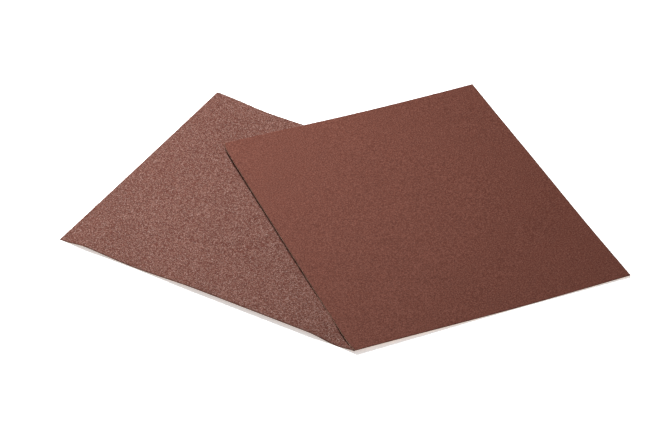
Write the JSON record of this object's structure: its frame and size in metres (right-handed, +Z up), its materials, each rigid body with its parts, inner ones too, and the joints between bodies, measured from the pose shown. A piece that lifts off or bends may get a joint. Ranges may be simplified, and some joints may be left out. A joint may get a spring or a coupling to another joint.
{
  "type": "pair of abrasive paper sheets",
  "caption": "Two rectangular sheets of red-brown abrasive paper, a fine grade lying fanned across a coarse grade, each a bonded laminate of paper, resin and grain.",
  "frame": {"origin": "middle of the pair's footprint, on the table that it lies on", "axes": "+Z up, away from the table; +X to the right along the pair's longest extent; +Y away from the shared near corner"},
  "size_m": [0.4444, 0.3468, 0.0036],
  "materials": {
    "coarse_backing_paper": "matte",
    "fine_backing_paper": "matte",
    "bond_resin": "satin",
    "coarse_grain_mineral": "matte",
    "fine_grain_mineral": "matte"
  },
  "bodies": {
    "coarse_sheet": {"coarse_paper_backing": "coarse_backing_paper", "coarse_make_coat": "bond_resin", "coarse_abrasive_grain": "coarse_grain_mineral", "coarse_size_coat": "bond_resin"},
    "fine_sheet": {"fine_paper_backing": "fine_backing_paper", "fine_make_coat": "bond_resin", "fine_abrasive_grain": "fine_grain_mineral", "fine_size_coat": "bond_resin"}
  },
  "joints": [
    {"name": "fine_lift", "type": "slide", "parent": "coarse_sheet", "child": "fine_sheet", "axis": [0, 0, 1], "range_m": [0, 0.06]}
  ]
}
